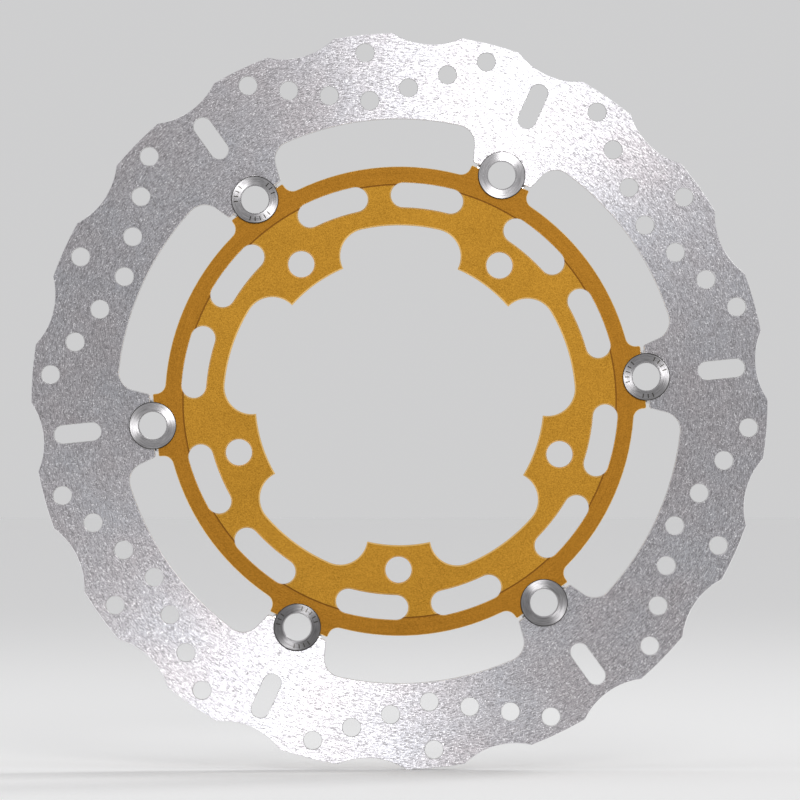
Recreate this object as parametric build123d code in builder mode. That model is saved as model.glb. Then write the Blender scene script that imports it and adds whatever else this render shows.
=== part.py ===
"""Floating front brake disc rotor of a motorcycle.

A gold carrier bolts to the wheel hub. A wave-edged steel blade floats around it on six drive
buttons, each held by a wave washer, a backing washer and a retaining ring.

Millimetres and degrees. The rotor stands upright as on the machine: its axis is Y, its outer face
looks along -Y and +Z is up. The origin is the centre of the pilot bore on the mounting face, and
heights run from that face towards the outer face.
"""

import os
from math import cos, radians, sin, tan

from build123d import *

# Whole rotor: six button stations, clocked from +X as seen from the outer face
station_count = 6
station_pitch = 360 / station_count
clock_angle = 5.65
station_circle = 104.3
mid_angle = clock_angle + station_pitch / 2
station_angles = [clock_angle + station_pitch * k for k in range(station_count)]

# Heights from the mounting face
web_thickness = 5.6
rim_step = 0.3
rim_back = rim_step
rim_front = web_thickness - rim_step
blade_thickness = rim_front - rim_back

# Blade: ground stainless ring with a wave edge
blade_radius = 155.0
blade_inner_radius = 118.75
scallop_count = 18
scallop_radius = 30.7
scallop_depth = 4.4
blade_ear_end = station_circle + 0.15
blade_ear_half_width = 13.3
blade_ear_flank = 19.8
blade_ear_root_fillet = 7.8
blade_ear_tip_fillet = 1.0
vent_radius = 3.85
vent_rows = [(127.1, 0.0), (131.9, 7.3), (138.75, 14.0), (147.3, 20.0), (147.3, 0.0)]
vent_slot_circle = 136.1
vent_slot_length = 19.7
edge_break = 0.25

# Carrier: machined aluminium spider
rim_radius = 98.7
carrier_ear_end = station_circle - 1.3
carrier_ear_half_width = 13.2
carrier_ear_root_fillet = 4.2
carrier_ear_tip_fillet = 0.7
step_radius = 90.8
slot_circle = 86.8
slot_width = 10.4
slot_arc = 13.34
slot_offset = 13.34
bolt_count = 5
bolt_angle = clock_angle + 48
bolt_circle = 70.9
bolt_hole_radius = 5.5
pilot_radius = 60.6
pocket_width = 23.0
pocket_circle = 62.5
pocket_arc = 25.6
carrier_front_break = 0.55
carrier_back_break = 0.4
relief_width = 0.6
relief_depth = 0.4
dot_radius = 0.55
dot_depth = 0.2
dot_circle = 96.2
dot_count = 5
dot_pitch = 1.1
dot_middle = 90.4

# Drive button, turned about its own axis
button_bore = 5.8
head_radius = 9.95
head_height = 1.6
shank_radius = 8.1
notch_clearance = 0.06
groove_radius = 7.5
tail_length = 0.65
head_edge_break = 0.3
mouth_chamfer = 0.45
cone_rise = 0.15
mark_circle = 8.1
mark_depth = 0.15
mark_length = 1.9
mark_width = 0.45
mark_pitch = 15.0
mark_groups = [(15, 4), (130, 5), (255, 3)]

# What holds the button from behind
wave_height = 0.88
wave_stock = 0.4
wave_inner = 8.4
wave_outer = 10.7
wave_count = 3
spring_clearance = 0.01
washer_thickness = 0.8
washer_inner = 8.2
washer_outer = 11.15
washer_edge_break = 0.15
ring_thickness = 1.0
ring_inner = 7.6
ring_outer = 9.6
ring_gap = 2.0
ring_lug_radius = 1.7
ring_lug_spread = 2.2
ring_lug_hole = 0.6

# Heights of the stack behind the ears
washer_front = rim_back - wave_height - 2 * spring_clearance
ring_front = washer_front - washer_thickness
ring_back = ring_front - ring_thickness
groove_back = ring_back - 0.05
tail_end = groove_back - tail_length
seat_front = rim_front + head_height


def ear_outline(end, half_width, flank, reach):
    """Corners of one ear on the +X side, from its free end out to a radius inside its ring."""
    run = abs(reach - end)
    wide = half_width + run * tan(radians(flank))
    return [(end, -half_width), (end, half_width), (reach, wide), (reach, -wide)]


def corners_near(sketch, low, high):
    """The sketch's corners whose distance from the rotor's axis lies between two radii."""
    return [v for v in sketch.vertices() if low < Vector(v).length < high]


def cut_round(radius, count, start, hole_radius):
    """Takes equal round holes on a circle out of the sketch."""
    with PolarLocations(radius, count, start_angle=start):
        Circle(hole_radius, mode=Mode.SUBTRACT)


def cut_arc_slot(radius, middle, arc, width):
    """Takes a round-ended slot that follows a circle about the axis out of the sketch."""
    with BuildLine() as outline:
        CenterArc((0, 0), radius, middle - arc / 2, arc)
        offset(amount=width / 2)
    make_face(outline.edges(), mode=Mode.SUBTRACT)


def save(part, name):
    part.label = name
    export_step(part, f"parts/{name}.step")


def make_blade():
    """The braking ring: wave edge outside, six ears inside, drilled and slotted to vent."""
    with BuildPart() as blade:
        with BuildSketch(Plane.XZ.offset(rim_back)) as outline:
            Circle(blade_radius)
            Circle(blade_inner_radius, mode=Mode.SUBTRACT)
            with PolarLocations(0, station_count, start_angle=clock_angle):
                Polygon(
                    *ear_outline(blade_ear_end, blade_ear_half_width, blade_ear_flank,
                                 blade_inner_radius + 2),
                    align=None,
                )
            fillet(
                corners_near(outline, blade_inner_radius - 0.5, blade_inner_radius + 0.5),
                blade_ear_root_fillet,
            )
            fillet(
                corners_near(outline, blade_ear_end, blade_ear_end + 3),
                blade_ear_tip_fillet,
            )
            cut_round(
                blade_radius - scallop_depth + scallop_radius, scallop_count, clock_angle,
                scallop_radius,
            )
            cut_round(station_circle, station_count, clock_angle, shank_radius + notch_clearance)
            for row_radius, offset in vent_rows:
                for turned in sorted({-offset, offset}):
                    cut_round(row_radius, station_count, mid_angle + turned, vent_radius)
            with PolarLocations(vent_slot_circle, station_count, start_angle=clock_angle):
                SlotOverall(vent_slot_length, 2 * vent_radius, mode=Mode.SUBTRACT)
        extrude(amount=blade_thickness)
        chamfer(blade.edges().group_by(Axis.Y)[0], edge_break)
        chamfer(blade.edges().group_by(Axis.Y)[-1], edge_break)
    return blade.part


def make_carrier():
    """The spider: bolted web with a slightly thinner rim, whose six ears cradle the buttons."""
    with BuildPart() as carrier:
        with BuildSketch(Plane.XZ) as plate:
            Circle(rim_radius)
            with PolarLocations(0, station_count, start_angle=clock_angle):
                Polygon(
                    *ear_outline(carrier_ear_end, carrier_ear_half_width, 0, rim_radius - 4),
                    align=None,
                )
            fillet(
                corners_near(plate, rim_radius - 0.5, rim_radius + 0.5), carrier_ear_root_fillet
            )
            fillet(
                corners_near(plate, carrier_ear_end, carrier_ear_end + 3), carrier_ear_tip_fillet
            )
            cut_round(station_circle, station_count, clock_angle, shank_radius + notch_clearance)
            cut_round(bolt_circle, bolt_count, bolt_angle, bolt_hole_radius)
            Circle(pilot_radius, mode=Mode.SUBTRACT)
            for number in range(bolt_count):
                middle = bolt_angle + 360 / bolt_count * (number + 0.5)
                cut_arc_slot(pocket_circle, middle, pocket_arc, pocket_width)
            for angle in station_angles:
                for side in (-1, 1):
                    middle = angle + station_pitch / 2 + side * slot_offset
                    cut_arc_slot(slot_circle, middle, slot_arc, slot_width)
        extrude(amount=web_thickness)
        chamfer(carrier.edges().group_by(Axis.Y)[0], carrier_front_break)
        chamfer(carrier.edges().group_by(Axis.Y)[-1], carrier_back_break)
        for face in (Plane.XZ, Plane.XZ.offset(rim_front)):  # thin the rim on both sides
            with BuildSketch(face):
                Circle(carrier_ear_end + 5)
                Circle(step_radius, mode=Mode.SUBTRACT)
            extrude(amount=rim_step, mode=Mode.SUBTRACT)
        with BuildSketch(Plane.XZ.offset(rim_front)):
            Circle(step_radius + relief_width)
            Circle(step_radius, mode=Mode.SUBTRACT)
        extrude(amount=-relief_depth, mode=Mode.SUBTRACT)
        with BuildSketch(Plane.XZ.offset(rim_front)):
            for number in range(dot_count):
                turned = dot_middle + dot_pitch * (number - (dot_count - 1) / 2)
                with PolarLocations(dot_circle, 1, start_angle=turned):
                    Circle(dot_radius)
        extrude(amount=-dot_depth, mode=Mode.SUBTRACT)
    return carrier.part


def station_place(angle):
    """Centre of the button station at an angle, on the mounting face's plane."""
    return Vector(station_circle * cos(radians(angle)), 0, station_circle * sin(radians(angle)))


def section_plane(angle):
    """Plane through a button's axis: local X runs outwards, local Y towards the outer face."""
    along = Vector(sin(radians(angle)), 0, -cos(radians(angle)))
    outwards = Vector(cos(radians(angle)), 0, sin(radians(angle)))
    return Plane(origin=station_place(angle), x_dir=outwards, z_dir=along)


def face_plane(angle, height):
    """Plane across a button's axis: local X runs outwards, seen from the outer face."""
    outwards = Vector(cos(radians(angle)), 0, sin(radians(angle)))
    return Plane(
        origin=station_place(angle) - Vector(0, height, 0), x_dir=outwards, z_dir=(0, -1, 0)
    )


def make_drive_button(angle, marked):
    """Hollow turned button: head in front, shank in the ears, ring groove near its tail."""
    rise = 0 if marked else cone_rise
    with BuildPart() as button:
        with BuildSketch(section_plane(angle)):
            with BuildLine():
                Polyline(
                    (button_bore, tail_end),
                    (button_bore, seat_front - mouth_chamfer + rise),
                    (button_bore + mouth_chamfer, seat_front + rise),
                    (head_radius - head_edge_break, seat_front),
                    (head_radius, seat_front - head_edge_break),
                    (head_radius, rim_front),
                    (shank_radius, rim_front),
                    (shank_radius, ring_front),
                    (groove_radius, ring_front),
                    (groove_radius, groove_back),
                    (shank_radius, groove_back),
                    (shank_radius, tail_end + head_edge_break),
                    (shank_radius - head_edge_break, tail_end),
                    close=True,
                )
            make_face()
        revolve(axis=Axis(station_place(angle), (0, -1, 0)))
        if marked:
            with BuildSketch(face_plane(angle, seat_front)):
                for first, count in mark_groups:
                    for number in range(count):
                        with PolarLocations(mark_circle, 1, start_angle=first + mark_pitch * number):
                            SlotOverall(mark_length, mark_width)
            extrude(amount=-mark_depth, mode=Mode.SUBTRACT)
    return button.part


def wave_edge(place, radius, number):
    """One edge of the wave washer's underside, over half a wave from trough to crest or back."""
    span = 180 / wave_count
    swing = (wave_height - wave_stock) / 2

    def at(turned):
        around = Vector(radius * cos(radians(turned)), radius * sin(radians(turned)))
        lift = swing * (1 - cos(radians(wave_count * turned)))
        return place.from_local_coords(around + Vector(0, 0, lift))

    def heading(turned):
        along = Vector(-sin(radians(turned)), cos(radians(turned)))
        return place.from_local_coords(along) - place.origin

    ends = (span * number, span * (number + 1))
    points = [at(ends[0] + span * step / 4) for step in range(5)]
    return Spline(*points, tangents=[heading(turned) for turned in ends])


def make_wave_washer(angle):
    """Spring washer pressed from strip: three waves that keep the blade against the heads."""
    place = face_plane(angle, washer_front + spring_clearance)
    with BuildPart() as washer:
        for number in range(2 * wave_count):
            strip = Face.make_surface_from_curves(
                wave_edge(place, wave_inner, number), wave_edge(place, wave_outer, number)
            )
            add(Solid.extrude(strip, Vector(0, -wave_stock, 0)))
    return washer.part


def make_backing_washer(angle):
    """Plain washer that backs the wave washer and shows a little past the head."""
    with BuildPart() as washer:
        with BuildSketch(face_plane(angle, ring_front)):
            Circle(washer_outer)
            Circle(washer_inner, mode=Mode.SUBTRACT)
        extrude(amount=washer_thickness)
        chamfer(washer.edges().group_by(SortBy.LENGTH)[-1], washer_edge_break)
    return washer.part


def make_retaining_ring(angle):
    """Spring ring in the shank's groove, open on one side between two drilled lugs."""
    with BuildPart() as ring:
        with BuildSketch(face_plane(angle, ring_back)):
            Circle(ring_outer)
            with Locations((ring_outer, ring_lug_spread), (ring_outer, -ring_lug_spread)):
                Circle(ring_lug_radius)
            Circle(ring_inner, mode=Mode.SUBTRACT)
            with Locations((ring_outer, 0)):
                Rectangle(ring_outer, ring_gap, mode=Mode.SUBTRACT)
            with Locations((ring_outer, ring_lug_spread), (ring_outer, -ring_lug_spread)):
                Circle(ring_lug_hole, mode=Mode.SUBTRACT)
        extrude(amount=ring_thickness)
    return ring.part


os.makedirs("parts", exist_ok=True)
save(make_blade(), "blade")
save(make_carrier(), "carrier")
for number, angle in enumerate(station_angles, start=1):
    save(make_drive_button(angle, marked=number % 2 == 1), f"drive_button_{number}")
    save(make_wave_washer(angle), f"wave_washer_{number}")
    save(make_backing_washer(angle), f"backing_washer_{number}")
    save(make_retaining_ring(angle), f"retaining_ring_{number}")
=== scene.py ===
"""Floating front brake disc rotor: finishes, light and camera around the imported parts.

Metres, in the parts' own frame. The axle runs along Y, the outer face looks along -Y and +Z is up.
"""

import math

import bmesh
import bpy
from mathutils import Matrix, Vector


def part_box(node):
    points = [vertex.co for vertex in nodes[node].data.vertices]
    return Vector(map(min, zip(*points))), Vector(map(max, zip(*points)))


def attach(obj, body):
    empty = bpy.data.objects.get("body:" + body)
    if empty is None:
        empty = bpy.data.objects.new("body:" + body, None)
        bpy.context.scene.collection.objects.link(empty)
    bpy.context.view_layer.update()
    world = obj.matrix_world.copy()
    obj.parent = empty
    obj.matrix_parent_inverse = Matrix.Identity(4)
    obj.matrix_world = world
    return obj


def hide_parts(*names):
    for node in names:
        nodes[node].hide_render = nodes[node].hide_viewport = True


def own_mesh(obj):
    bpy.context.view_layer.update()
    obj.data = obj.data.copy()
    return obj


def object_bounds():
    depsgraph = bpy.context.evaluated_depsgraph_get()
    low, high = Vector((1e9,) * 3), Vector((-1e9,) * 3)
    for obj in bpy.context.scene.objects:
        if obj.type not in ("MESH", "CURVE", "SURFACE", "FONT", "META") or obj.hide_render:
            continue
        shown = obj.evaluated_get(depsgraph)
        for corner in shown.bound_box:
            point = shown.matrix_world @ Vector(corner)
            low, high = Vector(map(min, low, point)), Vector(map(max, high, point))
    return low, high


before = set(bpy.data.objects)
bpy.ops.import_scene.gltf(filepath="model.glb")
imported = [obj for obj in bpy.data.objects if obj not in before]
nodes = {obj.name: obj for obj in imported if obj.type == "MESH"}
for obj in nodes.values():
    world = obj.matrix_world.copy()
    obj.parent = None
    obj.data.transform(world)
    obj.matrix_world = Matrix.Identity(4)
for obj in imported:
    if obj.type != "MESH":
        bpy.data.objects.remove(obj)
cad_low, cad_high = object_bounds()

# Camera
# The rotor is looked at square on to its outer face, from far off with a long lens, so that the
# round openings show no walls.
face_height = 0.0053
view_width = 0.3365
aim_right, aim_up = 0.0002, 0.0005
lens = bpy.data.cameras.new("long_lens")
lens.sensor_width = 36.0
lens.lens = 600.0
lens.clip_end = 60.0
camera = bpy.data.objects.new("camera", lens)
camera_distance = view_width * lens.lens / lens.sensor_width
camera.location = (aim_right, -face_height - camera_distance, aim_up)
camera.rotation_euler = (math.radians(90), 0, 0)
bpy.context.scene.collection.objects.link(camera)
bpy.context.scene.camera = camera


# Blade
# The braking ring, laser cut from 5 mm stainless sheet, then ground flat on both faces. The grinding
# leaves short scratches that run round the ring. Short bright dashes along and across them are
# painted glints. Its cut walls keep the striations of the laser, and every edge is broken by hand.
# The broken edges are painted near white as a painted edge highlight.
ground_dark = (0.220, 0.212, 0.221, 1)
ground_warm = (0.505, 0.474, 0.494, 1)
ground_cool = (0.488, 0.490, 0.524, 1)
glint = (0.96, 0.95, 0.97, 1)
painted_edge_highlight = (0.92, 0.91, 0.92, 1)
cut_wall_dark = (0.16, 0.155, 0.15, 1)
cut_wall_light = (0.40, 0.39, 0.38, 1)
band_radius = 0.136
scratch_width = 0.00034
scratch_length = 0.0021
speck_size = 0.00036
glint_width = 0.00032
glint_length = 0.0013
glint_turns = (-14, 9, 75)
glint_from, glint_full = 0.64, 0.74
glint_strength = 0.8
cloud_size = 0.03
warm_below, cool_above = 0.35, 0.65
striation_width = 0.0003
striation_length = 0.004
grain_low, grain_high = 0.3, 0.7
grinding_depth = 0.00003
ground_roughness = (0.43, 0.29)
ground_streakiness = 0.90
pattern_change = 700.0
face_from, face_full = 0.90, 0.96
wall_from, wall_full = 0.5, 0.3


def new_metal(name):
    """A bare metal: its material, node tree and shader."""
    material = bpy.data.materials.new(name)
    material.use_nodes = True
    shader = material.node_tree.nodes["Principled BSDF"]
    shader.inputs["Metallic"].default_value = 1.0
    return material, material.node_tree, shader


def put(tree, kind, inputs, **settings):
    """One more node. Inputs are numbers, colours or the outputs of other nodes."""
    node = tree.nodes.new("ShaderNode" + kind)
    for name, value in settings.items():
        setattr(node, name, value)
    for name, value in inputs.items():
        if isinstance(value, bpy.types.NodeSocket):
            tree.links.new(value, node.inputs[name])
        else:
            node.inputs[name].default_value = value
    return node


def reckon(tree, operation, *values):
    """The result of arithmetic on numbers and outputs."""
    return put(tree, "Math", dict(enumerate(values)), operation=operation).outputs[0]


def stretch(tree, value, low, high, to_low=0.0, to_high=1.0):
    """Spreads the part of a value between low and high over another range."""
    limits = {
        "Value": value, "From Min": low, "From Max": high, "To Min": to_low, "To Max": to_high,
    }
    return put(tree, "MapRange", limits).outputs["Result"]


def grain(tree, x, y, width, length, detail=2.0, third=0.0):
    """Uneven marks of a given width along x, drawn out over a given length along y.

    Another value of third gives another pattern.
    """
    place = put(tree, "CombineXYZ", {
        "X": reckon(tree, "DIVIDE", x, width), "Y": reckon(tree, "DIVIDE", y, length), "Z": third,
    })
    noise = put(tree, "TexNoise", {
        "Vector": place.outputs[0], "Scale": 1.0, "Detail": detail, "Roughness": 0.6,
    })
    return noise.outputs["Fac"]


def colour_between(tree, share, low, high):
    """A colour that goes from low to high with the share."""
    mix = put(tree, "Mix", {0: share, 6: low, 7: high}, data_type="RGBA")
    return mix.outputs[2]


def weigh(tree, *pairs):
    """Half, plus each value's swing about its own half times its weight, kept within 0 and 1."""
    total = 0.5
    for value, weight in pairs:
        total = reckon(tree, "MULTIPLY_ADD", reckon(tree, "SUBTRACT", value, 0.5), weight, total)
    return stretch(tree, total, 0.0, 1.0)


def round_the_axle(tree):
    """The part's own x, y and z, the distance from the axle and the angle round it."""
    place = put(tree, "TexCoord", {}).outputs["Object"]
    split = put(tree, "SeparateXYZ", {"Vector": place})
    x, y, z = (split.outputs[name] for name in "XYZ")
    flat = put(tree, "CombineXYZ", {"X": x, "Y": z})
    away = put(tree, "VectorMath", {0: flat.outputs[0]}, operation="LENGTH").outputs["Value"]
    return x, y, z, away, reckon(tree, "ARCTAN2", z, x)


def faces_and_walls(tree):
    """Shares of flat face and of cut wall. What is left between them is a broken edge."""
    normal = put(tree, "NewGeometry", {}).outputs["Normal"]
    split = put(tree, "SeparateXYZ", {"Vector": normal})
    squareness = reckon(tree, "ABSOLUTE", split.outputs["Y"])
    return (
        stretch(tree, squareness, face_from, face_full),
        stretch(tree, squareness, wall_from, wall_full),
    )


def lay_round(tree, shader, streakiness, turn=0.0):
    """Scratches that run round the part's middle draw its gloss out towards its rim."""
    tangent = put(tree, "Tangent", {}, direction_type="RADIAL", axis="Y")
    tree.links.new(tangent.outputs[0], shader.inputs["Tangent"])
    shader.inputs["Anisotropic"].default_value = streakiness
    shader.inputs["Anisotropic Rotation"].default_value = 0.25 - turn / 360


def roughen(tree, shader, height, depth):
    """Relief of a given depth from a height between 0 and 1."""
    bump = put(tree, "Bump", {"Height": height, "Distance": depth, "Strength": 1.0})
    tree.links.new(bump.outputs[0], shader.inputs["Normal"])


ground_steel, tree, shader = new_metal("ground_steel")
x, y, z, away, angle = round_the_axle(tree)
along = reckon(tree, "MULTIPLY", angle, band_radius)
side = reckon(tree, "MULTIPLY", y, pattern_change)
scratches = grain(tree, away, along, scratch_width, scratch_length, 1.0, side)
specks = grain(tree, x, z, speck_size, speck_size, 0.0, side)
clouds = grain(tree, x, z, cloud_size, cloud_size, 3.0, side)
glints = 0.0
for glint_turn in glint_turns:
    cosine, sine = math.cos(math.radians(glint_turn)), math.sin(math.radians(glint_turn))
    across = reckon(tree, "MULTIPLY_ADD", away, cosine, reckon(tree, "MULTIPLY", along, sine))
    down = reckon(tree, "MULTIPLY_ADD", along, cosine, reckon(tree, "MULTIPLY", away, -sine))
    dashes = grain(tree, across, down, glint_width, glint_length, 1.0, side)
    glints = reckon(tree, "MAXIMUM", glints, stretch(tree, dashes, glint_from, glint_full))
shade = weigh(tree, (scratches, 2.2), (specks, 1.2), (clouds, 0.12))
cast = colour_between(tree, stretch(tree, clouds, warm_below, cool_above), ground_warm, ground_cool)
ground = colour_between(tree, shade, ground_dark, cast)
# Painted glints: short dashes mixed towards near white in the base colour.
ground = colour_between(tree, reckon(tree, "MULTIPLY", glints, glint_strength), ground, glint)
striations = grain(tree, along, y, striation_width, striation_length)
striped = stretch(tree, striations, grain_low, grain_high)
wall_colour = colour_between(tree, striped, cut_wall_dark, cut_wall_light)
flat_share, wall_share = faces_and_walls(tree)
# The broken edges get a near-white colour, a painted edge highlight.
colour = colour_between(tree, flat_share, painted_edge_highlight, ground)
colour = colour_between(tree, wall_share, colour, wall_colour)
tree.links.new(colour, shader.inputs["Base Color"])
lay_round(tree, shader, ground_streakiness)
tree.links.new(stretch(tree, shade, 0.0, 1.0, *ground_roughness), shader.inputs["Roughness"])
relief = reckon(tree, "ADD", scratches, reckon(tree, "MULTIPLY", striations, wall_share))
roughen(tree, shader, relief, grinding_depth)


def dress(node_name, material):
    """Gives a carried-over part its finish in place of the plain one it came with."""
    slots = nodes[node_name].data.materials
    slots.clear()
    slots.append(material)


dress("blade", ground_steel)


# Carrier
# The spider that bolts to the hub, milled from aluminium plate and blasted to a fine matt grain,
# then anodised gold. The rim is turned a little thinner, and its bare cut took the dye deeper. The
# parting groove between the two is painted darkest, as painted shade. The broken edges are painted
# paler, as a painted edge highlight.
web_gold = (0.108, 0.045, 0.0026, 1)
web_gold_light = (0.480, 0.246, 0.032, 1)
rim_gold = (0.106, 0.043, 0.0033, 1)
rim_gold_light = (0.378, 0.172, 0.022, 1)
groove_painted_shade = (0.15, 0.060, 0.009, 1)
painted_gold_edge_highlight = (1.0, 0.66, 0.24, 1)
step_radius = 0.0908
groove_width = 0.0006
line_blur = 0.00002
blast_grain = 0.00042
blast_depth = 0.00002
dye_cloud = 0.025
turning_width = 0.00035
turning_length = 0.02
gold_roughness = (0.38, 0.46)

gold, tree, shader = new_metal("gold_anodised")
x, y, z, away, angle = round_the_axle(tree)
side = reckon(tree, "MULTIPLY", y, pattern_change)
pits = grain(tree, x, z, blast_grain, blast_grain, 2.0, reckon(tree, "DIVIDE", y, blast_grain))
clouds = grain(tree, x, z, dye_cloud, dye_cloud, 3.0, side)
around = reckon(tree, "MULTIPLY", angle, step_radius)
turning = grain(tree, away, around, turning_width, turning_length, 2.0, side)
web = colour_between(tree, weigh(tree, (pits, 1.4), (clouds, 0.22)), web_gold, web_gold_light)
rim = colour_between(
    tree, weigh(tree, (pits, 1.3), (turning, 0.40), (clouds, 0.15)), rim_gold, rim_gold_light
)
on_rim, past_groove = (
    stretch(tree, away, line - line_blur, line + line_blur)
    for line in (step_radius, step_radius + groove_width)
)
flat_share, wall_share = faces_and_walls(tree)
# The parting groove is painted dark, painted shade in the corner of the step.
colour = colour_between(tree, on_rim, web, groove_painted_shade)
colour = colour_between(tree, past_groove, colour, rim)
# Broken edges painted pale gold, a painted edge highlight.
colour = colour_between(tree, flat_share, painted_gold_edge_highlight, colour)
colour = colour_between(tree, wall_share, colour, rim)
tree.links.new(colour, shader.inputs["Base Color"])
uneven = stretch(tree, pits, grain_low, grain_high, *gold_roughness)
tree.links.new(uneven, shader.inputs["Roughness"])
roughen(tree, shader, pits, blast_depth)
dress("carrier", gold)


# Drive buttons
# Six hollow bobbins turned from stainless bar, each left with the fine spiral of the facing tool.
# Three have flat heads with stamped marks, three a very shallow cone. The edge of each head and the
# floors of the marks are painted dark as painted shade, and the mouth of the bore is painted bright
# as a painted highlight. Each head's colours are scaled by its own factor, painted lighter or darker
# for how that head catches the light.
turned_dark = (0.10, 0.097, 0.10, 1)
turned_light = (0.40, 0.392, 0.40, 1)
painted_shade = (0.06, 0.056, 0.05, 1)
painted_mouth_highlight = (0.58, 0.57, 0.58, 1)
head_side = (0.22, 0.215, 0.21, 1)
head_radius = 0.00995
mouth_edge = 0.0079
marks_from = 0.00655
edge_blur = 0.0001
stamped_face = -0.0069
mark_floor = stamped_face + 0.00005
feed = 0.00022
feed_length = 0.006
turning_depth = 0.00001
smear_width = 0.002
smear_turn = 0.8
turned_roughness = (0.33, 0.27)
turned_streakiness = 0.92
facing_turns = {1: -62, 2: 0, 3: 75, 4: -47, 5: -5, 6: 54}
painted_facing_light = {1: 1.0, 2: 1.8, 3: 1.26, 4: 1.27, 5: 0.71, 6: 0.89}


def round_its_middle(tree, reach):
    """Distance from the part's own middle and angle round it, for a round part of that radius."""
    place = put(tree, "TexCoord", {}).outputs["Generated"]
    split = put(tree, "SeparateXYZ", {"Vector": place})
    across = [
        reckon(tree, "MULTIPLY", reckon(tree, "SUBTRACT", split.outputs[name], 0.5), 2 * reach)
        for name in "XZ"
    ]
    flat = put(tree, "CombineXYZ", {"X": across[0], "Y": across[1]})
    away = put(tree, "VectorMath", {0: flat.outputs[0]}, operation="LENGTH").outputs["Value"]
    return away, reckon(tree, "ARCTAN2", across[1], across[0])


for number, facing_turn in facing_turns.items():
    turned, tree, shader = new_metal(f"turned_steel_{number}")
    away, angle = round_its_middle(tree, head_radius)
    height = round_the_axle(tree)[1]
    around = reckon(tree, "MULTIPLY", angle, head_radius)
    rings = grain(tree, away, around, feed, feed_length, 2.0, number)
    smears = grain(tree, away, angle, smear_width, smear_turn, 2.0, number)
    shade = weigh(tree, (rings, 1.5), (smears, 0.5))
    # Each head's colours are scaled by its own factor, painted lighter or darker for how it catches
    # the light.
    darker, lighter = (
        [channel * painted_facing_light[number] for channel in steel[:3]] + [1]
        for steel in (turned_dark, turned_light)
    )
    colour = colour_between(tree, shade, darker, lighter)
    in_mark = reckon(
        tree, "MULTIPLY",
        stretch(tree, height, mark_floor - line_blur, mark_floor),
        stretch(tree, away, marks_from, marks_from + edge_blur),
    )
    # The floors of the stamped marks are painted dark, painted shade in the recesses.
    colour = colour_between(tree, in_mark, colour, painted_shade)
    at_mouth = stretch(tree, away, mouth_edge + edge_blur, mouth_edge - edge_blur)
    flat_share, wall_share = faces_and_walls(tree)
    # The edge of the head is painted dark, painted shade where it meets the ring.
    outer = colour_between(tree, wall_share, painted_shade, head_side)
    # The mouth of the bore is painted bright, a painted highlight.
    edge_colour = colour_between(tree, at_mouth, outer, painted_mouth_highlight)
    colour = colour_between(tree, flat_share, edge_colour, colour)
    tree.links.new(colour, shader.inputs["Base Color"])
    lay_round(tree, shader, turned_streakiness, facing_turn)
    tree.links.new(stretch(tree, shade, 0.0, 1.0, *turned_roughness), shader.inputs["Roughness"])
    roughen(tree, shader, rings, turning_depth)
    dress(f"drive_button_{number}", turned)


# Backing washers and retaining rings
# A plated washer backs each wave washer, and a blued spring ring in the shank's groove holds the
# stack. Both are stamped from strip, which leaves fine pull marks.
plated_dark = (0.70, 0.70, 0.71, 1)
plated_light = (0.93, 0.93, 0.94, 1)
spring_dark = (0.10, 0.10, 0.115, 1)
spring_light = (0.26, 0.26, 0.28, 1)
pull_width = 0.0003
pull_length = 0.003
pull_depth = 0.000006
spot_size = 0.0012
pull_dulling = 0.08


def strip_metal(name, dark, light, roughness):
    """Rolled strip with fine pull marks along it and faint spots."""
    strip, tree, shader = new_metal(name)
    x, _, z = round_the_axle(tree)[:3]
    pulls = grain(tree, x, z, pull_width, pull_length)
    spots = grain(tree, x, z, spot_size, spot_size, 3.0)
    shade = weigh(tree, (pulls, 0.9), (spots, 0.8))
    tree.links.new(colour_between(tree, shade, dark, light), shader.inputs["Base Color"])
    uneven = stretch(tree, shade, 0.0, 1.0, roughness + pull_dulling, roughness)
    tree.links.new(uneven, shader.inputs["Roughness"])
    roughen(tree, shader, pulls, pull_depth)
    return strip


plated = strip_metal("plated_strip", plated_dark, plated_light, 0.15)
blued = strip_metal("blued_spring_strip", spring_dark, spring_light, 0.38)
for number in facing_turns:
    dress(f"backing_washer_{number}", plated)
    dress(f"retaining_ring_{number}", blued)


# Wave washers
# Spring strip pressed into three waves and plated bright. Each bears on the blade's ear and on its
# backing washer.
wave_count = 3
wave_segments = 120
wave_inner = 0.0084
strip_thickness = 0.0004
strip_break = 0.00005


def press_waves(name, low, high):
    """A waved ring that fills the height between two corners, its four edges broken."""
    middle = (low + high) / 2
    outer = (high.x - low.x) / 2
    swing = (high.y - low.y - strip_thickness) / 2
    section = [
        (wave_inner + strip_break, 0), (outer - strip_break, 0),
        (outer, strip_break), (outer, strip_thickness - strip_break),
        (outer - strip_break, strip_thickness), (wave_inner + strip_break, strip_thickness),
        (wave_inner, strip_thickness - strip_break), (wave_inner, strip_break),
    ]
    waved = bmesh.new()
    rows = []
    for step in range(wave_segments):
        turn = math.tau * step / wave_segments
        back = high.y - swing * (1 - math.cos(wave_count * turn))
        rows.append([
            waved.verts.new((
                middle.x + radius * math.cos(turn), back - depth, middle.z + radius * math.sin(turn),
            ))
            for radius, depth in section
        ])
    for row, following in zip(rows, rows[1:] + rows[:1]):
        for side in range(len(section)):
            face = waved.faces.new((row[side - 1], row[side], following[side], following[side - 1]))
            face.smooth = True
    bmesh.ops.recalc_face_normals(waved, faces=waved.faces)
    for row, following in zip(rows, rows[1:] + rows[:1]):
        for corner, next_corner in zip(row, following):
            waved.edges.get((corner, next_corner)).smooth = False
    mesh = bpy.data.meshes.new(name)
    waved.to_mesh(mesh)
    waved.free()
    return mesh


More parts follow.
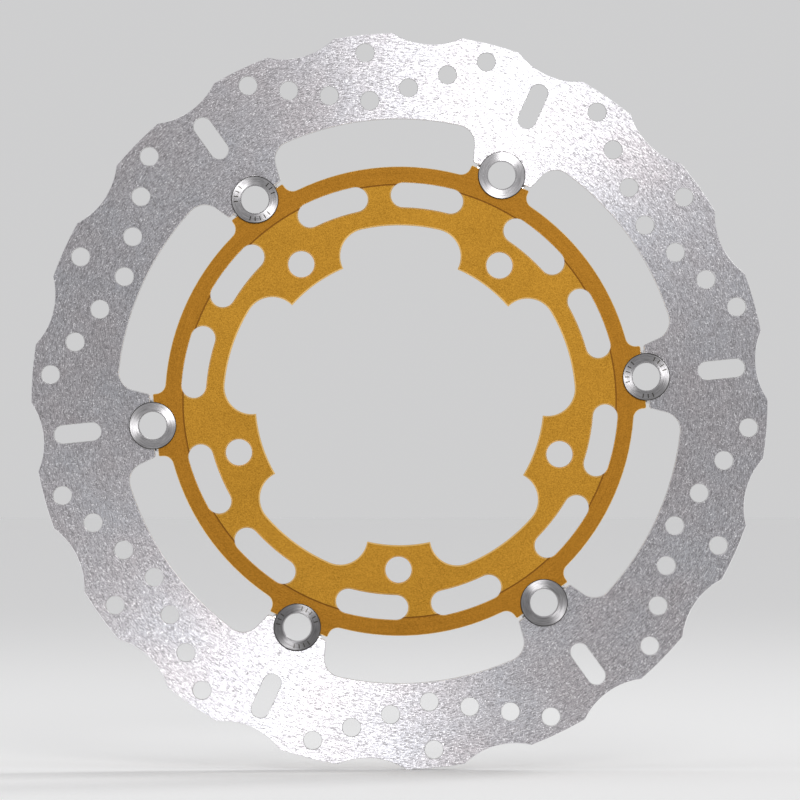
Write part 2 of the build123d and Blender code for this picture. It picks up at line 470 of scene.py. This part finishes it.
bright_spring = strip_metal("bright_spring_strip", plated_dark, plated_light, 0.14)
for number in facing_turns:
    low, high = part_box(f"wave_washer_{number}")
    spring = bpy.data.objects.new(
        f"wave_spring_{number}", press_waves(f"wave_spring_{number}", low, high)
    )
    spring.data.materials.append(bright_spring)
    bpy.context.scene.collection.objects.link(spring)
    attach(spring, f"button_{number}")
    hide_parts(f"wave_washer_{number}")
    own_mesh(spring)


# Floor and light
# A plain pale floor that runs far back, one large soft lamp up to the right of the outer face, and a
# larger one behind. Grids on both keep their light off the far floor, so that it is as pale as the
# even surroundings, which fill in the rest.
floor_reach = 12.0
floor_pale = (0.975, 0.975, 0.975, 1)
surroundings = (0.62, 0.62, 0.625, 1)
floor_corners = 64
lamp_distance = 10.0
key_bearing, key_lean = 70.0, 16.0
key_size, key_power, key_spread = 2.0, 6.8, 24.0
back_bearing, back_lean = 40.0, 50.0
back_size, back_power, back_spread = 3.2, 12.0, 30.0

ground_mesh = bpy.data.meshes.new("floor")
turns = [math.tau * corner / floor_corners for corner in range(floor_corners)]
corners = [(floor_reach * math.cos(turn), floor_reach * math.sin(turn), 0) for turn in turns]
ground_mesh.from_pydata(corners, [], [list(range(floor_corners))])
floor = bpy.data.objects.new("floor", ground_mesh)
floor.location = (0, 0, cad_low.z)
bpy.context.scene.collection.objects.link(floor)
matt, tree, shader = new_metal("floor_paper")
shader.inputs["Metallic"].default_value = 0.0
shader.inputs["Roughness"].default_value = 0.9
shader.inputs["Base Color"].default_value = floor_pale
ground_mesh.materials.append(matt)

world = bpy.data.worlds.new("surroundings")
world.use_nodes = True
world.node_tree.nodes["Background"].inputs["Color"].default_value = surroundings
bpy.context.scene.world = world


def hang_lamp(name, bearing, lean, size, power, spread, front):
    """A square soft lamp that leans off the axle line towards a bearing and looks at the rotor."""
    lamp = bpy.data.lights.new(name, "AREA")
    lamp.size = size
    lamp.energy = power
    lamp.spread = math.radians(spread)
    holder = bpy.data.objects.new(name, lamp)
    out = math.sin(math.radians(lean))
    holder.location = (
        lamp_distance * out * math.cos(math.radians(bearing)),
        (-1 if front else 1) * lamp_distance * math.cos(math.radians(lean)),
        lamp_distance * out * math.sin(math.radians(bearing)),
    )
    holder.rotation_euler = (-holder.location).to_track_quat("-Z", "Y").to_euler()
    bpy.context.scene.collection.objects.link(holder)


hang_lamp("key", key_bearing, key_lean, key_size, key_power, key_spread, True)
hang_lamp("back", back_bearing, back_lean, back_size, back_power, back_spread, False)
bpy.context.scene.view_settings.view_transform = "Standard"
